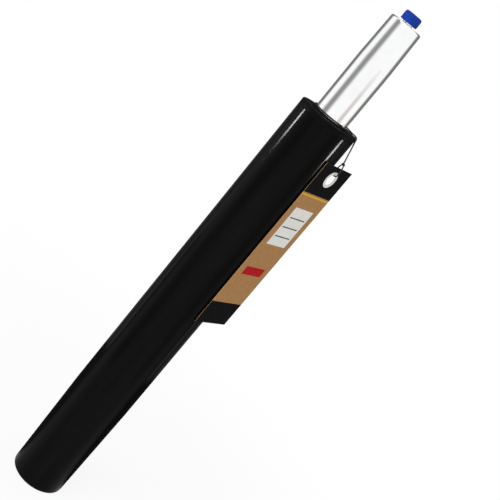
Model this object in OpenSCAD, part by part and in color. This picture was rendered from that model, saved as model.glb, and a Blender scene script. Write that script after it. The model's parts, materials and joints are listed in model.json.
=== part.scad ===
// Chair gas lift cylinder: a tapered column with a sliding, turning gas spring inside it.
// The column's foot stands on z = 0 and its axis is Z. Lengths are in millimetres.
// The lift is drawn at its lowest setting, with the release button up.

/* [Column] */
// Outside diameter of the column
column_d = 50; // [48:0.5:56]
// Wall thickness of the column
column_wall = 2; // [1.5:0.1:2.5]
// How much longer the steel column is than the stroke
column_spare = 119.5; // [112:0.5:160]
// Length of the tapered foot that wedges into a chair base
foot_taper_len = 92; // [60:1:110]
// Half angle of the tapered foot, in degrees
foot_taper_angle = 0.9; // [0.5:0.1:1.4]
// Rounding of the foot's lower edge
foot_round = 1.5; // [0.5:0.1:2]
// Width of the lip that is rolled in at the foot, inside the wall
foot_lip = 4; // [2.5:0.5:5]

/* [Lift tube] */
// How far the lift rises
stroke = 260; // [180:5:320]
// Outside diameter of the chromed tube
tube_d = 28; // [27:0.5:30]
// Wall thickness of the chromed tube
tube_wall = 1.5; // [1.2:0.1:1.8]
// Straight chromed length above the collar at the lowest setting
tube_show = 50; // [35:1:80]
// Length of the upper taper that wedges into a seat plate
cone_len = 35.2; // [30:0.1:50]
// Half angle of the upper taper, in degrees
cone_angle = 1.44; // [1:0.01:1.6]
// Rounding of the tube's upper edge
tube_round = 1.4; // [0.5:0.1:1.6]
// Opening in the tube's lower end
tube_foot_d = 18; // [14:0.5:20]

/* [Guide sleeve] */
// Height of the collar above the steel column
collar_h = 4.5; // [3:0.5:8]
// Rounding of the collar's upper edge
collar_round = 1; // [0.5:0.1:2]
// Height of the raised ring round the collar's bore
wiper_h = 1; // [0.5:0.1:1.1]
// Width of the raised ring round the collar's bore
wiper_w = 2.4; // [1.5:0.1:3]
// Length of the sleeve inside the column
sleeve_len = 90; // [60:1:105]
// Wall of the sleeve's barrel
sleeve_wall = 2.6; // [2:0.1:3.5]
// Height of each ring that centres the barrel in the column
sleeve_ring_h = 8; // [4:0.5:12]
// Number of ribs along the barrel
sleeve_ribs = 8; // [4:1:12]
// Thickness of each rib
sleeve_rib_t = 2; // [1.5:0.1:3]

/* [Foot bearing] */
// Sheet thickness of the base cup
cup_t = 2.5; // [2:0.1:3]
// Inside diameter of the recess in the base cup
cup_d = 28; // [24:0.5:30]
// Height of the rod's end above the foot
foot_clear = 3; // [2.5:0.5:5]
// Ball diameter
ball_d = 3; // [2.5:0.1:3.2]
// Number of balls
ball_count = 12; // [6:1:12]
// Thickness of each bearing race
race_t = 1.5; // [1:0.1:2]
// Outside diameter of the bearing races
race_d = 24; // [22:0.5:26]
// Thickness of the ball cage
cage_t = 1.6; // [1.2:0.1:2]
// Thickness of the washer on the clip
washer_t = 1.2; // [1:0.1:2]
// Outside diameter of the washer on the clip
washer_d = 18; // [14:0.5:22]
// Thickness of the retaining clip
clip_t = 1.5; // [1:0.1:2]
// Outside diameter of the retaining clip
clip_d = 15; // [12:0.5:18]
// Height of the rubber bump stop
bump_h = 18; // [12:0.5:24]
// How much wider the rubber bump stop is than the bearing races
bump_over = 0; // [-2:0.5:1.5]

/* [Piston rod] */
// Rod diameter
rod_d = 10; // [9:0.5:11]
// Diameter of the rod's lower journal
rod_foot_d = 8; // [7:0.5:8.5]
// Diameter of the rod's upper journal
rod_top_d = 7; // [6:0.5:8]
// Length of the rod below its clip
rod_tail = 3; // [2:0.5:5]
// Depth of the groove that holds the clip
groove_depth = 1; // [0.6:0.1:1.4]
// Piston height
piston_h = 14; // [12:0.5:18]
// Height of the guide band on the piston
band_h = 4; // [3:0.5:5]
// Thickness of the guide band
band_t = 1.5; // [1:0.1:2]
// Thickness of the washer under the piston nut
piston_washer_t = 1.5; // [1:0.1:3]
// Width of the piston nut across its flats
nut_af = 12; // [11:0.5:14]
// Height of the piston nut
nut_h = 5.5; // [4:0.5:8]

/* [Rod guide and cylinder] */
// Bore of the gas cylinder
chamber_d = 20; // [18:0.5:20.5]
// Wall thickness of the gas cylinder
chamber_wall = 1; // [0.8:0.1:1.2]
// Thickness of the washer under the rod seal
end_washer_t = 2; // [1:0.1:3]
// Height of the rod seal
rod_seal_h = 8; // [6:0.5:10]
// Height of the rod guide below the gas cylinder
guide_h = 20; // [15:0.5:26]
// Height of the spigot that centres the gas cylinder
spigot_h = 6; // [4:0.5:8]
// Width of each bypass slot in the rod guide
slot_w = 3; // [2:0.5:4]
// Section diameter of the rings that seal the tube
o_ring_t = 1.8; // [1.5:0.1:2.1]

/* [Valve] */
// Height of the sealed head of the valve body
valve_head_h = 16; // [14:0.5:20]
// Height of the waist where the bypass ports open
valve_waist_h = 7; // [6:0.5:10]
// Diameter of the waist
valve_waist_d = 18; // [14:0.5:20]
// Thickness of the shoulder that stands on the gas cylinder
valve_shoulder_t = 3; // [2:0.5:5]
// Height of the valve's spigot in the gas cylinder
valve_spigot_h = 8; // [6:0.5:10]
// Diameter of each bypass port
port_d = 2.4; // [1.6:0.1:3]
// Bore of the gallery between the seat and the ports
gallery_d = 6; // [5.5:0.1:6.5]
// Diameter of the valve pin
pin_d = 4; // [3.6:0.1:4.4]
// Diameter of the pin's neck in the gallery
pin_neck_d = 2.8; // [2:0.1:3.2]
// Diameter of the pin's upper stem
stem_d = 8; // [7:0.1:9]
// Length of the upper stem below the tube's top
stem_in = 16; // [12:0.5:22]
// Diameter of the pin's head
poppet_d = 9; // [8:0.1:12]
// Thickness of the pin's head
poppet_t = 2.5; // [2:0.1:4]
// Thickness of the seal on the pin's head
poppet_seal_t = 1.5; // [1:0.1:2]
// Section diameter of the ring that seals the pin
pin_ring_t = 1.5; // [1.2:0.1:1.8]

/* [Release button] */
// Button diameter
button_d = 14.1; // [11:0.1:15]
// Button height
button_h = 7.3; // [5.5:0.1:9]
// Rounding of the button's upper edge
button_round = 1.8; // [0.5:0.1:2.5]
// Height of the button's lower edge above the tube
button_gap = 1.4; // [1:0.1:3]
// How far the button goes in
button_travel = 4; // [3:0.1:4.5]
// Depth of the socket that takes the stem
socket_depth = 4; // [3:0.1:4.5]

/* [Hang tag] */
// Width of the card
tag_w = 41; // [30:1:44]
// Height of the card
tag_h = 159; // [90:1:200]
// Thickness of the card
tag_t = 0.4; // [0.3:0.1:0.8]
// Diameter of the card's hole
tag_hole_d = 9.4; // [6:0.1:11]
// Height of card above the hole
tag_web = 6.5; // [4:0.1:7]
// Diameter of the cord
cord_d = 1; // [0.8:0.1:1.1]
// Diameter of the knot
knot_d = 3; // [2.8:0.1:3.6]

/* [Clearances] */
// Radial gap where one piece slides or turns in another
run_gap = 0.06; // [0.02:0.01:0.1]
// Radial gap where one piece is pressed into another
fit_gap = 0.06; // [0.02:0.01:0.1]
// Gap left at each end stop
end_play = 0.3; // [0.2:0.05:0.6]
// Gap between the balls and each race
ball_gap = 0.05; // [0.02:0.01:0.1]
// Radial gap between the piston and its cylinder
piston_gap = 0.15; // [0.1:0.05:0.3]
// Radial gap round the button where it goes into the tube
mouth_gap = 0.6; // [0.3:0.1:1]

/* [Hidden] */
$fn = 96;
arc_steps = 8;

// Column levels and radii
column_r = column_d / 2;
bore_r = column_r - column_wall;
column_len = stroke + column_spare;
rim_z = column_len + collar_h;
foot_r = column_r - foot_taper_len * tan(foot_taper_angle);
foot_bore_r = foot_r - column_wall;
foot_mouth_r = foot_bore_r - foot_lip;

// Foot bearing, from the rod's end upwards
rod_r = rod_d / 2;
rod_foot_r = rod_foot_d / 2;
rod_top_r = rod_top_d / 2;
groove_r = rod_foot_r - groove_depth;
clip_z = foot_clear + rod_tail;
washer_z = clip_z + clip_t;
cup_z = washer_z + washer_t + end_play;
lower_race_z = cup_z + cup_t;
cage_z = lower_race_z + race_t + ball_gap + ball_d / 2;
upper_race_z = lower_race_z + race_t + ball_d + 2 * ball_gap;
shoulder_z = upper_race_z + race_t;
ball_ring_r = (race_d / 2 + rod_foot_r) / 2;
cage_w = ball_d + 3;
pocket_gap = 0.15;
groove_play = 0.05;
rod_chamfer = 0.8;
bump_d = race_d + bump_over;
bump_edge = 1.5;
bump_waist = 2.5;

// Lift tube, from its lower end upwards
tube_r = tube_d / 2;
tube_in_r = tube_r - tube_wall;
tube_z = shoulder_z + bump_h + end_play;
end_washer_z = tube_z + tube_wall;
rod_seal_z = end_washer_z + end_washer_t;
guide_z = rod_seal_z + rod_seal_h;
chamber_r = chamber_d / 2;
chamber_out_r = chamber_r + chamber_wall;
chamber_z = guide_z + guide_h;
spigot_r = chamber_r - fit_gap;
spigot_z = chamber_z + spigot_h;
cone_z = rim_z + tube_show;
tube_top_z = cone_z + cone_len;
cone_top_r = tube_r - cone_len * tan(cone_angle);
slot_depth = 3;
seal_lip_depth = 3;
seal_lip_w = 2;

// Piston, just clear of the rod guide at full height
piston_z = spigot_z + stroke + end_play;
piston_washer_z = piston_z + piston_h;
nut_z = piston_washer_z + piston_washer_t;
rod_top_z = nut_z + nut_h + 1;
piston_r = chamber_r - piston_gap;
band_z = piston_z + 1.5;
piston_ring_z = piston_z + piston_h - 4;

// Valve, from the tube's top downwards
valve_top_z = tube_top_z - tube_wall;
valve_head_z = cone_z - valve_head_h;
valve_waist_z = valve_head_z - valve_waist_h;
chamber_top_z = valve_waist_z - valve_shoulder_t;
valve_z = chamber_top_z - valve_spigot_h;
port_z = valve_waist_z + valve_waist_h / 2;
gallery_top_z = port_z + port_d;
head_ring_z = [valve_head_z + 4, cone_z - 4];
pin_ring_z = cone_z - 8;
poppet_seal_z = valve_z - poppet_seal_t - fit_gap;
poppet_z = poppet_seal_z - poppet_t;
stem_r = stem_d / 2;
stem_z = tube_top_z - stem_in;
pin_r = pin_d / 2;
pin_neck_r = pin_neck_d / 2;
pin_ring_r = pin_r + run_gap + pin_ring_t / 2;

// Release button
button_r = button_d / 2;
mouth_r = button_r + mouth_gap;
button_z = tube_top_z + button_gap;
button_top_z = button_z + button_h;
recess_z = button_z - button_travel - end_play;
stem_bore_z = stem_z - button_travel - end_play;
pin_top_z = button_z + socket_depth;

// Hang tag: the side it hangs on, and the turn of its card, in degrees about Z
tag_side = 0;
tag_twist = -29;
tag_x = 29.6;
knot_drop = 20;
hang_drop = 30.8;
cord_sides = 8;
tag_top_z = rim_z - hang_drop + cord_d / 2 + 0.05 + tag_web;

// Cord routes: outwards, sideways, and up from the rim
loop_half = [
    [25.4, 4.9, -1.3], [24.8, 4.9, 0.3], [23.2, 5, 1.1], [19.8, 6.8, 1.2], [16, 8.8, 1.5],
    [12, 10.9, 1.8], [7.6, 13.2, 1.9], [2.6, 15, 1.9], [-3.9, 14.7, 1.9], [-9.8, 11.6, 1.9],
    [-13.8, 6.4, 1.9], [-15.2, 0, 1.9]
];
strand = [
    [29.3, 0.8, -19.4], [28.5, 1.7, -15.5], [27.3, 3, -10], [26.3, 4.2, -5.5], [25.5, 4.8, -2.1]
];
eye = [
    [-0.9, 0, -20.6], [-1.4, 0, -22], [-2, 0, -25], [-2.2, 0, -28.6], [-1.6, 0, -30.2],
    [0, 0, -30.8], [1.6, 0, -30.2], [2.2, 0, -28.6], [2, 0, -25], [1.4, 0, -22], [0.9, 0, -20.6]
];

// Points of a round corner, from one angle to another
function arc(x, y, r, from, to) = [
    for (i = [0:arc_steps]) let (a = from + (to - from) * i / arc_steps) [x + r * cos(a), y + r * sin(a)]
];

// Four points of a square groove in a turned outline
function groove(r, bottom_r, z, h) = [
    [r, z - h / 2], [bottom_r, z - h / 2], [bottom_r, z + h / 2], [r, z + h / 2]
];

// Where a sealing ring's section sits in a bore, and how deep its groove is
function ring_centre(bore, gap, t) = bore - gap - t / 2;
function ring_floor(bore, gap, t) = bore - gap - t - fit_gap;
function ring_slot(t) = t + 0.3;

// Points along a smooth curve through a list of points
function mid_point(a, b, c, d, s) = (2 * b + (c - a) * s + (2 * a - 5 * b + 4 * c - d) * s * s
    + (3 * b - a - 3 * c + d) * s * s * s) / 2;
function smooth(p, n) = concat([
    for (i = [0:len(p) - 2], j = [0:n - 1])
        mid_point(p[max(i - 1, 0)], p[i], p[i + 1], p[min(i + 2, len(p) - 1)], j / n)
], [p[len(p) - 1]]);

// The same route the other way round, and on the other side
function other_half(p) = [for (i = [len(p) - 2:-1:0]) [p[i][0], -p[i][1], p[i][2]]];
function unit(v) = v / norm(v);
function headings(p) = [
    for (i = [0:len(p) - 1]) unit(p[min(i + 1, len(p) - 1)] - p[max(i - 1, 0)])
];
function sides(t, n, i = 0) = i == len(t) ? [] :
    let (m = unit(n - (n * t[i]) * t[i])) concat([m], sides(t, m, i + 1));

// A round cord along a route
module cord(route, n, first_side) {
    p = smooth(route, n);
    t = headings(p);
    s = sides(t, first_side);
    last = len(p) - 1;
    points = [
        for (i = [0:last], k = [0:cord_sides - 1]) let (a = 360 * k / cord_sides)
            p[i] + cord_d / 2 * (cos(a) * s[i] + sin(a) * cross(t[i], s[i]))
    ];
    near = [
        for (i = [0:last - 1], k = [0:cord_sides - 1]) let (k2 = (k + 1) % cord_sides)
            [i * cord_sides + k, (i + 1) * cord_sides + k, i * cord_sides + k2]
    ];
    far = [
        for (i = [0:last - 1], k = [0:cord_sides - 1]) let (k2 = (k + 1) % cord_sides)
            [(i + 1) * cord_sides + k, (i + 1) * cord_sides + k2, i * cord_sides + k2]
    ];
    start_cap = [for (k = [1:cord_sides - 2]) [0, k, k + 1]];
    end_cap = [for (k = [1:cord_sides - 2]) last * cord_sides * [1, 1, 1] + [0, k + 1, k]];
    polyhedron(points, concat(near, far, start_cap, end_cap));
}

// A plain ring
module ring(r_in, r_out, z, h) {
    translate([0, 0, z]) difference() {
        cylinder(r = r_out, h = h);
        translate([0, 0, -1]) cylinder(r = r_in, h = h + 2);
    }
}

// A ring of round section
module seal_ring(r, z, t) {
    translate([0, 0, z]) rotate_extrude() translate([r, 0]) circle(d = t);
}

// A piece turned from its outline
module turned(outline) {
    rotate_extrude() polygon(outline);
}

// Places the tag's pieces at the rim, on the tag's side
module at_tag() {
    translate([0, 0, rim_z]) rotate([0, 0, tag_side]) children();
}

module stand_tube() {
    color("#1b1b1d") turned(concat(
        [[foot_mouth_r, 0]],
        arc(foot_r - foot_round, foot_round, foot_round, -90, 0),
        [
            [column_r, foot_taper_len], [column_r, column_len], [bore_r, column_len],
            [bore_r, foot_taper_len], [foot_bore_r, column_wall], [foot_mouth_r, column_wall]
        ]
    ));
}

module guide_sleeve() {
    sleeve_bore_r = tube_r + run_gap;
    barrel_r = sleeve_bore_r + sleeve_wall;
    sleeve_r = bore_r - fit_gap;
    sleeve_z = column_len - sleeve_len;
    ring_z = [sleeve_z, sleeve_z + (sleeve_len - sleeve_ring_h) / 2, column_len - sleeve_ring_h];
    color("#202022") union() {
        turned(concat(
            [[sleeve_bore_r, sleeve_z], [barrel_r, sleeve_z], [barrel_r, column_len], [column_r, column_len]],
            arc(column_r - collar_round, rim_z - collar_round, collar_round, 0, 90),
            [
                [sleeve_bore_r + wiper_w, rim_z], [sleeve_bore_r + wiper_w * 0.6, rim_z + wiper_h],
                [sleeve_bore_r, rim_z + wiper_h]
            ]
        ));
        for (z = ring_z) ring(barrel_r - 0.5, sleeve_r, z, sleeve_ring_h);
        for (i = [0:sleeve_ribs - 1]) rotate([0, 0, 360 * i / sleeve_ribs])
            translate([barrel_r - 0.5, -sleeve_rib_t / 2, sleeve_z])
                cube([sleeve_r - barrel_r, sleeve_rib_t, sleeve_len]);
    }
}

module base_cup() {
    cup_r = cup_d / 2;
    hole_r = rod_foot_r + run_gap;
    flange_r = foot_bore_r - fit_gap;
    flange_z = column_wall;
    color("#8f9398") turned([
        [hole_r, cup_z], [cup_r, cup_z], [cup_r, flange_z], [flange_r, flange_z],
        [flange_r, flange_z + cup_t], [cup_r + cup_t, flange_z + cup_t],
        [cup_r + cup_t, lower_race_z], [hole_r, lower_race_z]
    ]);
}

module lower_race() {
    color("#b4b8bc") ring(rod_foot_r + run_gap, race_d / 2, lower_race_z, race_t);
}

module ball_cage() {
    color("#c79a4b") difference() {
        ring(ball_ring_r - cage_w / 2, ball_ring_r + cage_w / 2, cage_z - cage_t / 2, cage_t);
        for (i = [0:ball_count - 1]) rotate([0, 0, 360 * i / ball_count])
            translate([ball_ring_r, 0, cage_z - cage_t]) cylinder(d = ball_d + 2 * pocket_gap, h = 2 * cage_t);
    }
}

module bearing_balls() {
    color("#d5d8dc") for (i = [0:ball_count - 1]) rotate([0, 0, 360 * i / ball_count])
        translate([ball_ring_r, 0, cage_z]) sphere(d = ball_d);
}

module upper_race() {
    color("#b4b8bc") ring(rod_foot_r + fit_gap, race_d / 2, upper_race_z, race_t);
}

module clip_washer() {
    color("#a9adb2") ring(rod_foot_r + fit_gap, washer_d / 2, washer_z, washer_t);
}

module retaining_clip() {
    clip_bore_r = groove_r + fit_gap;
    color("#6d7074") translate([0, 0, clip_z]) linear_extrude(clip_t) difference() {
        circle(d = clip_d);
        circle(r = clip_bore_r);
        translate([0, -0.9 * clip_bore_r]) square([clip_d, 1.8 * clip_bore_r]);
    }
}

module bump_stop() {
    bump_r = bump_d / 2;
    bump_in_r = rod_r + fit_gap;
    bump_top_z = shoulder_z + bump_h;
    color("#2a2a2a") turned([
        [bump_in_r, shoulder_z], [bump_r - bump_edge, shoulder_z], [bump_r, shoulder_z + bump_edge],
        [bump_r, shoulder_z + bump_h / 4], [bump_r - bump_waist, shoulder_z + bump_h / 2],
        [bump_r, bump_top_z - bump_h / 4], [bump_r, bump_top_z - bump_edge],
        [bump_r - bump_edge, bump_top_z], [bump_in_r, bump_top_z]
    ]);
}

module piston_rod() {
    color("#d0d3d7") turned([
        [0, foot_clear], [rod_foot_r - rod_chamfer, foot_clear], [rod_foot_r, foot_clear + rod_chamfer],
        [rod_foot_r, clip_z - groove_play], [groove_r, clip_z - groove_play],
        [groove_r, washer_z], [rod_foot_r, washer_z],
        [rod_foot_r, shoulder_z], [rod_r, shoulder_z], [rod_r, piston_z], [rod_top_r, piston_z],
        [rod_top_r, rod_top_z - rod_chamfer], [rod_top_r - rod_chamfer, rod_top_z], [0, rod_top_z]
    ]);
}

module piston() {
    piston_bore_r = rod_top_r + fit_gap;
    band_floor_r = chamber_r - run_gap - band_t - fit_gap;
    ring_floor_r = ring_floor(chamber_r, run_gap, o_ring_t);
    color("#b9bdc2") turned(concat(
        [[piston_bore_r, piston_z], [piston_r, piston_z]],
        groove(piston_r, band_floor_r, band_z + band_h / 2, band_h + 2 * fit_gap),
        groove(piston_r, ring_floor_r, piston_ring_z, ring_slot(o_ring_t)),
        [[piston_r, piston_washer_z], [piston_bore_r, piston_washer_z]]
    ));
}

module piston_ring() {
    color("#1f2a1f") seal_ring(ring_centre(chamber_r, run_gap, o_ring_t), piston_ring_z, o_ring_t);
}

module piston_band() {
    band_r = chamber_r - run_gap;
    color("#e8e4d8") ring(band_r - band_t, band_r, band_z, band_h);
}

module piston_washer() {
    color("#a9adb2") ring(rod_top_r + fit_gap, chamber_r - 2, piston_washer_z, piston_washer_t);
}

module piston_nut() {
    color("#8f9398") translate([0, 0, nut_z]) difference() {
        cylinder(d = nut_af / cos(30), h = nut_h, $fn = 6);
        translate([0, 0, -1]) cylinder(r = rod_top_r + fit_gap, h = nut_h + 2);
    }
}

module lift_tube() {
    foot_edge = tube_wall;
    color("#e4e6e8") turned(concat(
        [[tube_foot_d / 2, tube_z]],
        arc(tube_r - foot_edge, tube_z + foot_edge, foot_edge, -90, 0),
        [[tube_r, cone_z]],
        arc(cone_top_r - tube_round, tube_top_z - tube_round, tube_round, 0, 90),
        [
            [mouth_r, tube_top_z], [mouth_r, valve_top_z], [cone_top_r - tube_wall, valve_top_z],
            [tube_in_r, cone_z], [tube_in_r, end_washer_z], [tube_foot_d / 2, end_washer_z]
        ]
    ));
}

module gas_cylinder() {
    color("#aeb2b6") ring(chamber_r, chamber_out_r, chamber_z, chamber_top_z - chamber_z);
}

module end_washer() {
    color("#a9adb2") ring(rod_r + run_gap, tube_in_r - fit_gap, end_washer_z, end_washer_t);
}

module rod_seal() {
    seal_bore_r = rod_r + run_gap;
    seal_r = tube_in_r - fit_gap;
    lip_r = seal_bore_r + seal_lip_w;
    color("#26302a") turned([
        [seal_bore_r, rod_seal_z], [seal_r, rod_seal_z], [seal_r, guide_z],
        [seal_r - seal_lip_w, guide_z], [(lip_r + seal_r - seal_lip_w) / 2, guide_z - seal_lip_depth],
        [lip_r, guide_z], [seal_bore_r, guide_z]
    ]);
}

module rod_guide() {
    guide_bore_r = rod_r + run_gap;
    guide_r = tube_in_r - fit_gap;
    ring_floor_r = ring_floor(tube_in_r, fit_gap, o_ring_t);
    slot_r = (guide_bore_r + spigot_r) / 2;
    color("#cfc9b8") difference() {
        turned(concat(
            [[guide_bore_r, guide_z], [guide_r, guide_z]],
            groove(guide_r, ring_floor_r, guide_z + guide_h / 2, ring_slot(o_ring_t)),
            [[guide_r, chamber_z], [spigot_r, chamber_z], [spigot_r, spigot_z], [guide_bore_r, spigot_z]]
        ));
        for (a = [0:90:270]) rotate([0, 0, a])
            translate([slot_r, -slot_w / 2, chamber_z - slot_depth]) cube([tube_r, slot_w, spigot_h + slot_depth + 1]);
    }
}

module guide_ring() {
    color("#1f2a1f") seal_ring(ring_centre(tube_in_r, fit_gap, o_ring_t), guide_z + guide_h / 2, o_ring_t);
}

module valve_body() {
    head_r = tube_in_r - fit_gap;
    neck_r = cone_top_r - tube_wall - fit_gap;
    waist_r = valve_waist_d / 2;
    head_floor_r = ring_floor(tube_in_r, fit_gap, o_ring_t);
    spigot_floor_r = ring_floor(chamber_r, fit_gap, o_ring_t);
    pin_bore_r = pin_r + run_gap;
    pin_ring_h = ring_slot(pin_ring_t);
    color("#bfc3c7") difference() {
        turned(concat(
            [[0, valve_z], [spigot_r, valve_z]],
            groove(spigot_r, spigot_floor_r, valve_z + valve_spigot_h / 2, ring_slot(o_ring_t)),
            [
                [spigot_r, chamber_top_z], [chamber_out_r, chamber_top_z], [chamber_out_r, valve_waist_z],
                [waist_r, valve_waist_z], [waist_r, valve_head_z], [head_r, valve_head_z]
            ],
            groove(head_r, head_floor_r, head_ring_z[0], ring_slot(o_ring_t)),
            groove(head_r, head_floor_r, head_ring_z[1], ring_slot(o_ring_t)),
            [[head_r, cone_z], [neck_r, valve_top_z], [0, valve_top_z]]
        ));
        translate([0, 0, valve_z - 1]) cylinder(d = gallery_d, h = gallery_top_z - valve_z + 1);
        translate([0, 0, valve_z]) cylinder(r = pin_bore_r, h = valve_top_z - valve_z);
        translate([0, 0, pin_ring_z - pin_ring_h / 2])
            cylinder(r = pin_ring_r + pin_ring_t / 2 + fit_gap, h = pin_ring_h);
        translate([0, 0, stem_bore_z]) cylinder(r = stem_r + run_gap, h = tube_top_z - stem_bore_z);
        translate([0, 0, recess_z]) cylinder(r = mouth_r, h = tube_top_z - recess_z);
        for (a = [45:90:315]) rotate([0, 0, a])
            translate([0, 0, port_z]) rotate([0, 90, 0]) cylinder(d = port_d, h = tube_r);
    }
}

module valve_rings() {
    color("#1f2a1f") for (z = head_ring_z) seal_ring(ring_centre(tube_in_r, fit_gap, o_ring_t), z, o_ring_t);
}

module spigot_ring() {
    color("#1f2a1f")
        seal_ring(ring_centre(chamber_r, fit_gap, o_ring_t), valve_z + valve_spigot_h / 2, o_ring_t);
}

module pin_ring() {
    color("#1f2a1f") seal_ring(pin_ring_r, pin_ring_z, pin_ring_t);
}

module valve_pin() {
    color("#d8dbde") turned([
        [0, poppet_z], [poppet_d / 2, poppet_z], [poppet_d / 2, poppet_seal_z], [pin_neck_r, poppet_seal_z],
        [pin_neck_r, gallery_top_z + button_travel / 2], [pin_r, gallery_top_z + button_travel / 2 + 1],
        [pin_r, stem_z], [stem_r, stem_z], [stem_r, pin_top_z], [0, pin_top_z]
    ]);
}

module poppet_seal() {
    color("#26302a") ring(pin_neck_r + fit_gap, poppet_d / 2, poppet_seal_z, poppet_seal_t);
}

module release_button() {
    socket_r = stem_r + fit_gap;
    color("#1243c8") turned(concat(
        [[0, pin_top_z], [socket_r, pin_top_z], [socket_r, button_z], [button_r, button_z]],
        arc(button_r - button_round, button_top_z - button_round, button_round, 0, 90),
        [[0, button_top_z]]
    ));
}

module tag_cord() {
    color("#242322") at_tag() cord(concat(loop_half, other_half(loop_half)), 2, [1, 0, 0]);
}

module tag_strands() {
    color("#242322") at_tag() {
        cord(strand, 2, [1, 0, 0]);
        cord([for (p = strand) [p[0], -p[1], p[2]]], 2, [1, 0, 0]);
    }
}

module tag_eye() {
    color("#242322") at_tag() translate([tag_x, 0, 0]) rotate([0, 0, tag_twist]) cord(eye, 1, [0, 1, 0]);
}

module tag_knot() {
    color("#242322") at_tag() translate([tag_x, 0, -knot_drop]) sphere(d = knot_d);
}

module tag_card() {
    hole_z = -tag_web - tag_hole_d / 2;
    color("#a67c50") at_tag() translate([tag_x, 0, tag_top_z - rim_z]) rotate([0, 0, tag_twist]) difference() {
        translate([-tag_t / 2, -tag_w / 2, -tag_h]) cube([tag_t, tag_w, tag_h]);
        translate([-1, 0, hole_z]) rotate([0, 90, 0]) cylinder(d = tag_hole_d, h = 2);
    }
}

stand_tube();
guide_sleeve();
base_cup();
lower_race();
ball_cage();
bearing_balls();
upper_race();
clip_washer();
retaining_clip();
bump_stop();
piston_rod();
piston();
piston_ring();
piston_band();
piston_washer();
piston_nut();
lift_tube();
gas_cylinder();
end_washer();
rod_seal();
rod_guide();
guide_ring();
valve_body();
valve_rings();
spigot_ring();
pin_ring();
valve_pin();
poppet_seal();
release_button();
tag_cord();
tag_strands();
tag_eye();
tag_knot();
tag_card();
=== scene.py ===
"""Chair gas lift cylinder: camera, cord, finishes, floor and light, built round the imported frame."""

import json
import math

import bpy
from mathutils import Matrix, Vector


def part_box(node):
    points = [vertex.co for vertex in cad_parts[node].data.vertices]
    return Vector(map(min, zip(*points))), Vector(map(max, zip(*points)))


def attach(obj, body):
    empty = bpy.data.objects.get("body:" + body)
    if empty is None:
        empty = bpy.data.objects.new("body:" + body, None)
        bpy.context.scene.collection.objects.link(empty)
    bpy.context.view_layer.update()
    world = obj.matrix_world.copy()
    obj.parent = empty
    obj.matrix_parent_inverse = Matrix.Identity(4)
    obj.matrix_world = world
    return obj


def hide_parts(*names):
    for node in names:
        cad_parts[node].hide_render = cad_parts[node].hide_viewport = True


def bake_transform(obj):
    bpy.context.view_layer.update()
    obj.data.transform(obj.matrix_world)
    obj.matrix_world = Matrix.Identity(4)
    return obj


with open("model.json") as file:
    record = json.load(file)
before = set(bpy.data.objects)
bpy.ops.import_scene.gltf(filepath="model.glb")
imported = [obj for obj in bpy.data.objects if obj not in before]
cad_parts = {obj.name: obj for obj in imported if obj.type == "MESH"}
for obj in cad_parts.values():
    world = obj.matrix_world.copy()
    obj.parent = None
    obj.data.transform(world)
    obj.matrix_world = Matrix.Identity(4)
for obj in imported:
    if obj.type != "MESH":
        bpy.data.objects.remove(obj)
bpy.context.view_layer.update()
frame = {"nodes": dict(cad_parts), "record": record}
MM = 0.001

# Camera, as the photograph has it: lens and sensor in millimetres, place in metres
LENS = 66.76
SENSOR = 36
CAMERA_PLACE = Vector((0.01705, -0.68660, 0.45591))
CAMERA_TILT = math.radians(15.317)
CAMERA_ROLL = math.radians(39.867)

# Heights from the frame, with the collar that stands above the column in millimetres
COLLAR_H = 4.5
RIM_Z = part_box("stand_tube")[1].z + COLLAR_H * MM
CARD_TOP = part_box("tag_card")[1].z

# The tag's place beside the column, in millimetres, and the turn of its card
TAG_X = 29.6
TAG_TWIST = math.radians(-29)
HOLE_DEPTH = 11.2
KNOT_DROP = 20

# The cord's route in millimetres: outwards, sideways, and up from the rim
CORD_D = 1.0
LOOP_HALF = [
    (25.4, 4.9, -1.3), (24.8, 4.9, 0.3), (23.2, 5, 1.1), (19.8, 6.8, 1.2), (16, 8.8, 1.5),
    (12, 10.9, 1.8), (7.6, 13.2, 1.9), (2.6, 15, 1.9), (-3.9, 14.7, 1.9), (-9.8, 11.6, 1.9),
    (-13.8, 6.4, 1.9), (-15.2, 0, 1.9),
]
STRAND = [(29.3, 0.8, -19.4), (28.5, 1.7, -15.5), (27.3, 3, -10), (26.3, 4.2, -5.5), (25.5, 4.8, -2.1)]
EYE = [
    (0.9, 0, -20.6), (1.4, 0, -22), (2, 0, -25), (2.2, 0, -28.6), (1.6, 0, -30.2), (0, 0, -30.8),
    (-1.6, 0, -30.2), (-2.2, 0, -28.6), (-2, 0, -25), (-1.4, 0, -22), (-0.9, 0, -20.6),
]
# The cord's points per span and sides, its twist's pitch in millimetres, and the knot's points, and its size
# and rise in millimetres
CORD_STEPS = 6
CORD_SIDES = 10
TWIST_PITCH = 2.2
KNOT_POINTS = 60
KNOT_SIZE = 0.36
KNOT_RISE = 0.55


def make_camera():
    """The photograph's camera: it looks down a little and is rolled, so the column leans in the frame."""
    data = bpy.data.cameras.new("camera")
    data.lens = LENS
    data.sensor_width = SENSOR
    data.clip_start = 0.01
    data.clip_end = 100
    right = Vector((1, 0, 0))
    up = Vector((0, math.sin(CAMERA_TILT), math.cos(CAMERA_TILT)))
    back = Vector((0, -math.cos(CAMERA_TILT), math.sin(CAMERA_TILT)))
    across = right * math.cos(CAMERA_ROLL) + up * math.sin(CAMERA_ROLL)
    upright = up * math.cos(CAMERA_ROLL) - right * math.sin(CAMERA_ROLL)
    camera = bpy.data.objects.new("camera", data)
    turned = Matrix((across, upright, back)).transposed().to_4x4()
    camera.matrix_world = Matrix.Translation(CAMERA_PLACE) @ turned
    bpy.context.scene.collection.objects.link(camera)
    bpy.context.scene.camera = camera


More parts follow.
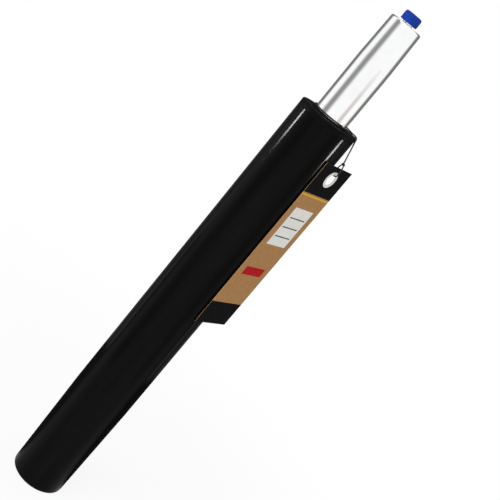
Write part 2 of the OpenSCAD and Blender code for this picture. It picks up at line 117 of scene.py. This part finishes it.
def smooth(points, steps):
    """Points along one smooth curve through the given ones."""
    last = len(points) - 1
    found = []
    for i in range(last):
        a, b, c, d = (points[max(i - 1, 0)], points[i], points[i + 1], points[min(i + 2, last)])
        for j in range(steps):
            s = j / steps
            square = (2 * a - 5 * b + 4 * c - d) * s**2
            cube = (3 * b - a - 3 * c + d) * s**3
            found.append((2 * b + (c - a) * s + square + cube) / 2)
    return found + [points[last]]


def sweep(name, path, radius, sides, closed=False):
    """A round tube along a path. Its texture coordinates are the length in millimetres and the turn."""
    count = len(path)
    ahead = [path[(i + 1) % count] if closed else path[min(i + 1, count - 1)] for i in range(count)]
    behind = [path[i - 1] if closed else path[max(i - 1, 0)] for i in range(count)]
    along = [(a - b).normalized() for a, b in zip(ahead, behind)]
    side = along[0].orthogonal().normalized()
    verts, lengths, run = [], [], 0.0
    for i, point in enumerate(path):
        side = (side - along[i] * side.dot(along[i])).normalized()
        other = along[i].cross(side)
        for k in range(sides):
            turn = 2 * math.pi * k / sides
            verts.append(point + (side * math.cos(turn) + other * math.sin(turn)) * radius)
        lengths.append(run)
        run += (path[(i + 1) % count] - point).length / MM
    rings = count if closed else count - 1
    faces, coords = [], []
    for i in range(rings):
        n = (i + 1) % count
        end = lengths[n] if n else run
        for k in range(sides):
            k2 = (k + 1) % sides
            faces.append((i * sides + k, i * sides + k2, n * sides + k2, n * sides + k))
            turn, next_turn = k / sides, (k + 1) / sides
            coords += [(lengths[i], turn), (lengths[i], next_turn), (end, next_turn), (end, turn)]
    if not closed:
        faces.append(tuple(reversed(range(sides))))
        faces.append(tuple((count - 1) * sides + k for k in range(sides)))
        coords += [(0, 0)] * sides + [(run, 0)] * sides
    mesh = bpy.data.meshes.new(name)
    mesh.from_pydata(verts, [], faces)
    layer = mesh.uv_layers.new(name="UVMap")
    for loop, place in zip(layer.data, coords):
        loop.uv = place
    mesh.polygons.foreach_set("use_smooth", [True] * len(faces))
    piece = bpy.data.objects.new(name, mesh)
    bpy.context.scene.collection.objects.link(piece)
    return piece


def at_rim(point):
    """A point of the cord's route, from millimetres at the rim to metres in the frame."""
    return Vector(point) * MM + Vector((0, 0, RIM_Z))


def at_card(point):
    """A point beside the card, from the card's own millimetres to metres in the frame."""
    turned = Matrix.Rotation(TAG_TWIST, 3, "Z") @ Vector(point)
    return at_rim(turned + Vector((TAG_X, 0, 0)))


def make_cord(finish):
    """The cord: an eye in the card's hole, up to the rim, round the chromed tube and down to the knot."""
    half = [Vector(p) for p in LOOP_HALF]
    far_half = [Vector((p.x, -p.y, p.z)) for p in reversed(half[:-1])]
    rise = [Vector(p) for p in STRAND]
    fall = [Vector((p.x, -p.y, p.z)) for p in reversed(rise)]
    route = [at_card(p) for p in EYE] + [at_rim(p) for p in rise + half + far_half + fall]
    path = smooth(route, CORD_STEPS)
    cord = sweep("hang_cord", path, CORD_D / 2 * MM, CORD_SIDES)
    cord.data.materials.append(finish)
    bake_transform(cord)
    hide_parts("tag_cord", "tag_strands", "tag_eye")
    return cord, path


def make_knot(finish):
    """The knot where the cord's ends are tied: one closed turn of three lobes."""
    middle = at_card((0, 0, -KNOT_DROP))
    path = []
    for i in range(KNOT_POINTS):
        t = 2 * math.pi * i / KNOT_POINTS
        x = math.sin(t) + 2 * math.sin(2 * t)
        y = math.cos(t) - 2 * math.cos(2 * t)
        path.append(middle + Vector((x * KNOT_SIZE, y * KNOT_SIZE, -math.sin(3 * t) * KNOT_RISE)) * MM)
    knot = sweep("hang_knot", path, CORD_D / 2 * MM, CORD_SIDES, closed=True)
    knot.data.materials.append(finish)
    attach(knot, "tag")
    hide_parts("tag_knot")
    return knot


# Most of a noise texture lies between these two values
NOISE_LOW = 0.3
NOISE_HIGH = 0.7


class Finish:
    """A material with one principled surface, and short ways to add nodes to it."""

    def __init__(self, name):
        self.material = bpy.data.materials.new(name)
        self.material.use_nodes = True
        self.tree = self.material.node_tree
        self.surface = self.tree.nodes["Principled BSDF"]
        self.places = self.tree.nodes.new("ShaderNodeTexCoord")

    def put(self, node, name, value):
        """A constant is set on the socket itself, and an output is linked to it."""
        if isinstance(value, bpy.types.NodeSocket):
            self.tree.links.new(value, node.inputs[name])
        else:
            node.inputs[name].default_value = value

    def set(self, **values):
        """Values of the surface's own sockets, with words joined by an underscore."""
        for name, value in values.items():
            self.put(self.surface, name.replace("_", " "), value)

    def math(self, operation, a, b=0.0):
        """One step of arithmetic on two values."""
        node = self.tree.nodes.new("ShaderNodeMath")
        node.operation = operation
        self.put(node, 0, a)
        self.put(node, 1, b)
        return node.outputs[0]

    def noise(self, size, detail=3, stretch=(1, 1, 1)):
        """Noise from 0 to 1 with grains of this size in metres, longer along the stretched axes."""
        placed = self.tree.nodes.new("ShaderNodeMapping")
        self.put(placed, "Vector", self.places.outputs["Object"])
        self.put(placed, "Scale", [1 / (size * s) for s in stretch])
        node = self.tree.nodes.new("ShaderNodeTexNoise")
        self.put(node, "Vector", placed.outputs[0])
        self.put(node, "Scale", 1.0)
        self.put(node, "Detail", detail)
        return node.outputs["Fac"]

    def spread(self, value, low, high):
        """The middle of a noise's range, spread between two values."""
        node = self.tree.nodes.new("ShaderNodeMapRange")
        self.put(node, "Value", value)
        self.put(node, "From Min", NOISE_LOW)
        self.put(node, "From Max", NOISE_HIGH)
        self.put(node, "To Min", low)
        self.put(node, "To Max", high)
        return node.outputs[0]

    def step(self, value, start, end):
        """A smooth step from 0 to 1 between two values."""
        node = self.tree.nodes.new("ShaderNodeMapRange")
        node.interpolation_type = "SMOOTHSTEP"
        self.put(node, "Value", value)
        self.put(node, "From Min", start)
        self.put(node, "From Max", end)
        return node.outputs[0]

    def mix(self, share, low, high):
        """One colour going over to another."""
        node = self.tree.nodes.new("ShaderNodeMix")
        node.data_type = "RGBA"
        for socket, value in ((0, share), (6, low), (7, high)):
            if isinstance(value, bpy.types.NodeSocket):
                self.tree.links.new(value, node.inputs[socket])
            else:
                node.inputs[socket].default_value = value if socket == 0 else (*value, 1)
        return node.outputs[2]

    def bump(self, height, depth):
        """Relief of this depth in metres."""
        node = self.tree.nodes.new("ShaderNodeBump")
        self.put(node, "Strength", 1.0)
        self.put(node, "Distance", depth)
        self.put(node, "Height", height)
        self.set(Normal=node.outputs[0])


def shade(colour, factor):
    """A colour made lighter or darker."""
    return tuple(min(1.0, c * factor) for c in colour)


def paint(name, colour):
    """Satin powder coat: near black, with orange peel, and soft streaks along the tube painted in as
    reflection banding.
    """
    f = Finish(name)
    # Lighter and darker streaks along the tube in the base colour: painted reflection banding, not a mark of
    # the paint itself.
    painted_sheen_streaks = f.spread(f.noise(0.012, 2, (1, 1, 14)), 0, 1)
    f.set(Base_Color=f.mix(painted_sheen_streaks, shade(colour, 0.7), shade(colour, 1.35)))
    f.set(Roughness=f.spread(f.noise(0.003), 0.11, 0.13), Specular_IOR_Level=0.04)
    f.bump(f.noise(0.0016, 1), 0.0000004)
    return f.material


def plastic(name, colour, roughness, specular, grain):
    """Moulded plastic with a fine sparked grain of the given size."""
    f = Finish(name)
    f.set(Base_Color=f.mix(f.spread(f.noise(0.006), 0, 1), shade(colour, 0.85), shade(colour, 1.15)))
    f.set(Roughness=f.spread(f.noise(0.002), roughness - 0.05, roughness + 0.05))
    f.set(Specular_IOR_Level=specular)
    f.bump(f.noise(grain, 2), grain * 0.006)
    return f.material


def turned_metal(name, colour, roughness, ring=0.0004):
    """Turned or ground metal, with fine marks that run round the axis."""
    f = Finish(name)
    marks = f.noise(ring, 3, (60, 60, 1))
    f.set(Base_Color=f.mix(f.spread(f.noise(0.008), 0, 1), shade(colour, 0.97), shade(colour, 1.01)))
    f.set(Metallic=1.0, Roughness=f.spread(marks, roughness * 0.75, roughness * 1.25))
    f.bump(marks, ring * 0.002)
    return f.material


def plated_metal(name, colour, roughness):
    """Pressed and plated sheet, with cloudy spangle."""
    f = Finish(name)
    cloud = f.noise(0.004, 5)
    f.set(Base_Color=f.mix(f.spread(cloud, 0, 1), shade(colour, 0.8), shade(colour, 1.15)))
    f.set(Metallic=1.0, Roughness=f.spread(f.noise(0.0015), roughness - 0.06, roughness + 0.08))
    f.bump(f.noise(0.0006), 0.000008)
    return f.material


def rubber(name, colour):
    """Moulded rubber with a dusty bloom."""
    f = Finish(name)
    bloom = f.spread(f.noise(0.003, 5), 0, 1)
    f.set(Base_Color=f.mix(bloom, shade(colour, 0.8), shade(colour, 1.5)))
    f.set(Roughness=f.spread(f.noise(0.001), 0.6, 0.75), Specular_IOR_Level=0.25)
    f.bump(f.noise(0.0004), 0.00001)
    return f.material


def twisted_cord(name, colour):
    """Thin waxed cord, with the relief of its twisted strands and painted shade in the grooves between them.
    """
    f = Finish(name)
    parts = f.tree.nodes.new("ShaderNodeSeparateXYZ")
    f.put(parts, "Vector", f.places.outputs["UV"])
    turns = f.math("ADD", f.math("MULTIPLY", parts.outputs["X"], 1 / TWIST_PITCH), parts.outputs["Y"])
    ply = f.math("SINE", f.math("MULTIPLY", turns, 4 * math.pi))
    # The colour follows the strands' relief: crests are painted lighter and grooves darker, as painted light
    # and shade.
    painted_strand_light = f.math("ADD", f.math("MULTIPLY", ply, 0.5), 1.0)
    f.set(Base_Color=f.mix(painted_strand_light, shade(colour, 0.5), shade(colour, 1.5)))
    f.set(Roughness=f.spread(f.noise(0.0008), 0.5, 0.65), Specular_IOR_Level=0.3)
    f.bump(ply, 0.00006)
    return f.material


# The card's plain design, in linear colours and in millimetres down from its upper edge
KRAFT = (0.47, 0.25, 0.098)
KRAFT_BACK = (0.48, 0.28, 0.13)
INK = (0.006, 0.006, 0.007)
CREAM = (0.95, 0.93, 0.88)
YELLOW = (0.85, 0.48, 0.03)
RED = (0.52, 0.012, 0.015)
CARD_BANDS = [
    (-1, 27, 21, INK),
    (28.2, 29.6, 21, YELLOW),
    (41, 77, 13.5, CREAM),
    (50, 50.9, 11, INK),
    (59, 59.9, 11, INK),
    (68, 68.9, 11, INK),
    (100, 108, 13.5, RED),
    (137, 160, 21, INK),
]
EYELET_R = 7.2


def printed_card(name):
    """Laminated card: printed bands and a write-on field in front, bare kraft behind."""
    f = Finish(name)
    placed = f.tree.nodes.new("ShaderNodeMapping")
    placed.vector_type = "TEXTURE"
    f.put(placed, "Vector", f.places.outputs["Object"])
    f.put(placed, "Location", (TAG_X * MM, 0, CARD_TOP))
    f.put(placed, "Rotation", (0, 0, TAG_TWIST))
    f.put(placed, "Scale", (MM, MM, -MM))
    parts = f.tree.nodes.new("ShaderNodeSeparateXYZ")
    f.put(parts, "Vector", placed.outputs[0])
    front, across, down = parts.outputs
    side = f.math("ABSOLUTE", across)
    fibre = f.spread(f.noise(0.0012, 4, (1, 1, 3)), 0, 1)
    colour = f.mix(fibre, shade(KRAFT, 0.9), shade(KRAFT, 1.12))
    for top, bottom, half_width, ink in CARD_BANDS:
        rows = f.math("MULTIPLY", f.math("GREATER_THAN", down, top), f.math("LESS_THAN", down, bottom))
        inside = f.math("MULTIPLY", rows, f.math("LESS_THAN", side, half_width))
        colour = f.mix(inside, colour, f.mix(fibre, shade(ink, 0.94), shade(ink, 1.04)))
    from_hole = f.math("SUBTRACT", down, HOLE_DEPTH)
    reach = f.math("SQRT", f.math("ADD", f.math("POWER", from_hole, 2), f.math("POWER", side, 2)))
    colour = f.mix(f.math("LESS_THAN", reach, EYELET_R), colour, f.mix(fibre, shade(CREAM, 0.94), CREAM))
    back = f.mix(fibre, shade(KRAFT_BACK, 0.85), shade(KRAFT_BACK, 1.15))
    f.set(Base_Color=f.mix(f.math("GREATER_THAN", front, 0), back, colour))
    f.set(Roughness=f.spread(f.noise(0.002), 0.5, 0.62), Specular_IOR_Level=0.02)
    f.bump(f.noise(0.0007, 4, (1, 1, 3)), 0.00001)
    return f.material


def finishes():
    """One material for each of the record's slots."""
    return {
        "column_paint": paint("column_paint", (0.0036, 0.0035, 0.0035)),
        "sleeve_plastic": plastic("sleeve_plastic", (0.0045, 0.0045, 0.0047), 0.5, 0.02, 0.0003),
        "tube_chrome": turned_metal("tube_chrome", (0.96, 0.962, 0.965), 0.07, 0.0002),
        "rod_chrome": turned_metal("rod_chrome", (0.78, 0.79, 0.81), 0.14, 0.0002),
        "pressed_steel": plated_metal("pressed_steel", (0.52, 0.53, 0.54), 0.36),
        "spring_steel": plated_metal("spring_steel", (0.14, 0.14, 0.15), 0.34),
        "bearing_steel": turned_metal("bearing_steel", (0.66, 0.67, 0.68), 0.16),
        "nut_steel": plated_metal("nut_steel", (0.5, 0.5, 0.5), 0.3),
        "cage_brass": plated_metal("cage_brass", (0.72, 0.52, 0.22), 0.3),
        "bump_rubber": rubber("bump_rubber", (0.03, 0.03, 0.03)),
        "seal_rubber": rubber("seal_rubber", (0.02, 0.025, 0.02)),
        "piston_alloy": turned_metal("piston_alloy", (0.6, 0.61, 0.63), 0.28),
        "band_plastic": plastic("band_plastic", (0.8, 0.78, 0.7), 0.45, 0.4, 0.0004),
        "guide_plastic": plastic("guide_plastic", (0.65, 0.62, 0.52), 0.45, 0.4, 0.0004),
        "valve_alloy": turned_metal("valve_alloy", (0.62, 0.63, 0.65), 0.28),
        "button_plastic": plastic("button_plastic", (0.006, 0.04, 0.31), 0.45, 0.08, 0.0005),
        "tag_cord": twisted_cord("tag_cord", (0.012, 0.011, 0.011)),
        "tag_card": printed_card("tag_card"),
    }


def dress_nodes(by_slot):
    """Every node of the frame takes the finish of its slot."""
    for part in frame["record"]["subparts"]:
        mesh = frame["nodes"][part["node"]].data
        mesh.materials.clear()
        mesh.materials.append(by_slot[part["material_slot"]])


def seen_or_mirrored(tree):
    """1 where the camera, a mirror or a clear piece looks, and 0 for soft light."""
    rays = tree.nodes.new("ShaderNodeLightPath")
    total = rays.outputs["Is Camera Ray"]
    for name in ("Is Glossy Ray", "Is Transmission Ray"):
        node = tree.nodes.new("ShaderNodeMath")
        node.operation = "MAXIMUM"
        tree.links.new(total, node.inputs[0])
        tree.links.new(rays.outputs[name], node.inputs[1])
        total = node.outputs[0]
    return total


# The stage: sizes and places in metres, and the lamp's power in watts
WHITE = (1, 1, 1, 1)
SOFT_LIGHT = 0.55
KEY_PLACE = Vector((-1.0, -1.5, 2.0))
KEY_TARGET = Vector((0, 0, 0.25))
KEY_SIZE = 1.6
KEY_POWER = 42
FLOOR_SIZE = 60
FLOOR_Z = -0.0003
FLOOR_PALE = (0.9, 0.9, 0.9, 1)
FLOOR_WHITE_SHARE = 0.88
SHADOW_REACH = 0.12
SHADOW_END = 0.55


def make_world():
    """White where it is seen, and an even soft light."""
    world = bpy.data.worlds.new("studio")
    world.use_nodes = True
    tree = world.node_tree
    soft = tree.nodes["Background"]
    soft.inputs["Color"].default_value = WHITE
    soft.inputs["Strength"].default_value = SOFT_LIGHT
    white = tree.nodes.new("ShaderNodeBackground")
    white.inputs["Color"].default_value = WHITE
    white.inputs["Strength"].default_value = 1.0
    both = tree.nodes.new("ShaderNodeMixShader")
    tree.links.new(seen_or_mirrored(tree), both.inputs[0])
    tree.links.new(soft.outputs[0], both.inputs[1])
    tree.links.new(white.outputs[0], both.inputs[2])
    tree.links.new(both.outputs[0], tree.nodes["World Output"].inputs["Surface"])
    bpy.context.scene.world = world


def make_floor():
    """A pale floor that reads as white and keeps a soft shadow."""
    half = FLOOR_SIZE / 2
    mesh = bpy.data.meshes.new("floor")
    corners = ((-half, -half), (half, -half), (half, half), (-half, half))
    mesh.from_pydata([(x, y, FLOOR_Z) for x, y in corners], [], [(0, 1, 2, 3)])
    floor = bpy.data.objects.new("floor", mesh)
    bpy.context.scene.collection.objects.link(floor)
    material = bpy.data.materials.new("floor")
    material.use_nodes = True
    tree = material.node_tree
    tree.nodes.remove(tree.nodes["Principled BSDF"])
    pale = tree.nodes.new("ShaderNodeBsdfDiffuse")
    pale.inputs["Color"].default_value = FLOOR_PALE
    white = tree.nodes.new("ShaderNodeEmission")
    white.inputs["Color"].default_value = WHITE
    white.inputs["Strength"].default_value = 1.0
    place = tree.nodes.new("ShaderNodeTexCoord")
    reach = tree.nodes.new("ShaderNodeVectorMath")
    reach.operation = "LENGTH"
    tree.links.new(place.outputs["Object"], reach.inputs[0])
    whiter = tree.nodes.new("ShaderNodeMapRange")
    whiter.interpolation_type = "SMOOTHSTEP"
    tree.links.new(reach.outputs["Value"], whiter.inputs["Value"])
    whiter.inputs["From Min"].default_value = SHADOW_REACH
    whiter.inputs["From Max"].default_value = SHADOW_END
    whiter.inputs["To Min"].default_value = FLOOR_WHITE_SHARE
    share = tree.nodes.new("ShaderNodeMath")
    share.operation = "MULTIPLY"
    tree.links.new(seen_or_mirrored(tree), share.inputs[0])
    tree.links.new(whiter.outputs["Result"], share.inputs[1])
    both = tree.nodes.new("ShaderNodeMixShader")
    tree.links.new(share.outputs[0], both.inputs[0])
    tree.links.new(pale.outputs[0], both.inputs[1])
    tree.links.new(white.outputs[0], both.inputs[2])
    tree.links.new(both.outputs[0], tree.nodes["Material Output"].inputs["Surface"])
    mesh.materials.append(material)


def around(azimuth, distance, height):
    """A place round the column, with azimuth in degrees from the camera's side towards +X."""
    turn = math.radians(azimuth)
    return Vector((math.sin(turn) * distance, -math.cos(turn) * distance, height))


def make_key():
    """One large soft lamp, high on the camera's left."""
    data = bpy.data.lights.new("key", "AREA")
    data.size = KEY_SIZE
    data.energy = KEY_POWER
    lamp = bpy.data.objects.new("key", data)
    lamp.location = KEY_PLACE
    lamp.rotation_mode = "QUATERNION"
    lamp.rotation_quaternion = (KEY_TARGET - KEY_PLACE).to_track_quat("-Z", "Y")
    lamp.visible_camera = False
    bpy.context.scene.collection.objects.link(lamp)


# Screens round the column that only glossy surfaces show. The ends are azimuths in degrees, and soft is how
# many degrees the colour takes to come in from each end. Each level is a distance from the axis and a height
# in metres. A fade holds the heights where the colour starts and is full.
SCREENS = {
    "grey_left": {
        "ends": (-82, -23), "soft": 24, "levels": [(0.3, 0), (0.3, 0.8)],
        "colour": (0.29, 0.29, 0.3),
    },
    "grey_back": {
        "ends": (102, 258), "soft": 22, "levels": [(0.3, 0), (0.3, 0.8)],
        "colour": (0.19, 0.19, 0.19),
    },
    "warm_right": {
        "ends": (36, 76), "soft": 18, "levels": [(0.3, 0), (0.3, 0.47)],
        "colour": (0.66, 0.6, 0.57), "fade": (0.445, 0.37),
    },
    "dark_floor": {
        "ends": (78, 282), "soft": 28, "levels": [(0.01, 0), (0.9, 0)],
        "colour": (0.03, 0.03, 0.03),
    },
    "strip_left": {
        "ends": (-95, -86), "soft": 3, "levels": [(1, 0.155), (1, 0.264)],
        "strength": 160, "fade": (0.185, 0.25),
    },
    "strip_right": {
        "ends": (84, 93), "soft": 3, "levels": [(1, 0.155), (1, 0.264)],
        "strength": 160, "fade": (0.185, 0.25),
    },
}
NO_FADE = (-1, -0.9)
SCREEN_STEPS = 32


def make_screen(name, ends, soft, levels, colour=(1, 1, 1), strength=1, fade=NO_FADE):
    """A screen round part of the axis: its colour, or its glow where it has a strength, fades at its ends."""
    start, end = ends
    verts = []
    for i in range(SCREEN_STEPS + 1):
        azimuth = start + (end - start) * i / SCREEN_STEPS
        verts += [around(azimuth, distance, height) for distance, height in levels]
    faces = [(2 * i, 2 * i + 2, 2 * i + 3, 2 * i + 1) for i in range(SCREEN_STEPS)]
    mesh = bpy.data.meshes.new(name)
    mesh.from_pydata(verts, [], faces)
    layer = mesh.uv_layers.new(name="UVMap")
    for loop, corner in zip(layer.data, [v for face in faces for v in face]):
        loop.uv = (corner // 2 / SCREEN_STEPS, verts[corner].z)
    f = Finish(name)
    parts = f.tree.nodes.new("ShaderNodeSeparateXYZ")
    f.put(parts, "Vector", f.places.outputs["UV"])
    from_start = f.math("MULTIPLY", parts.outputs["X"], (end - start) / soft)
    from_end = f.math("SUBTRACT", (end - start) / soft, from_start)
    side = f.step(f.math("MINIMUM", from_start, from_end), 0, 1)
    tall = f.step(parts.outputs["Y"], *fade)
    full = f.math("MULTIPLY", side, tall)
    glow = f.tree.nodes.new("ShaderNodeEmission")
    if strength > 1:
        f.put(glow, "Color", (*colour, 1))
        f.put(glow, "Strength", f.math("MULTIPLY", full, strength))
    else:
        f.put(glow, "Color", f.mix(full, (1, 1, 1), colour))
    f.put(f.tree.nodes["Material Output"], "Surface", glow.outputs[0])
    f.tree.nodes.remove(f.surface)
    mesh.materials.append(f.material)
    screen = bpy.data.objects.new(name, mesh)
    screen.visible_camera = False
    screen.visible_diffuse = False
    screen.visible_transmission = False
    screen.visible_shadow = False
    bpy.context.scene.collection.objects.link(screen)


make_camera()
by_slot = finishes()
dress_nodes(by_slot)
cord, cord_path = make_cord(by_slot["tag_cord"])
knot = make_knot(by_slot["tag_cord"])
make_world()
make_floor()
make_key()
for screen, look in SCREENS.items():
    make_screen(screen, **look)
bpy.context.scene.view_settings.view_transform = "Standard"
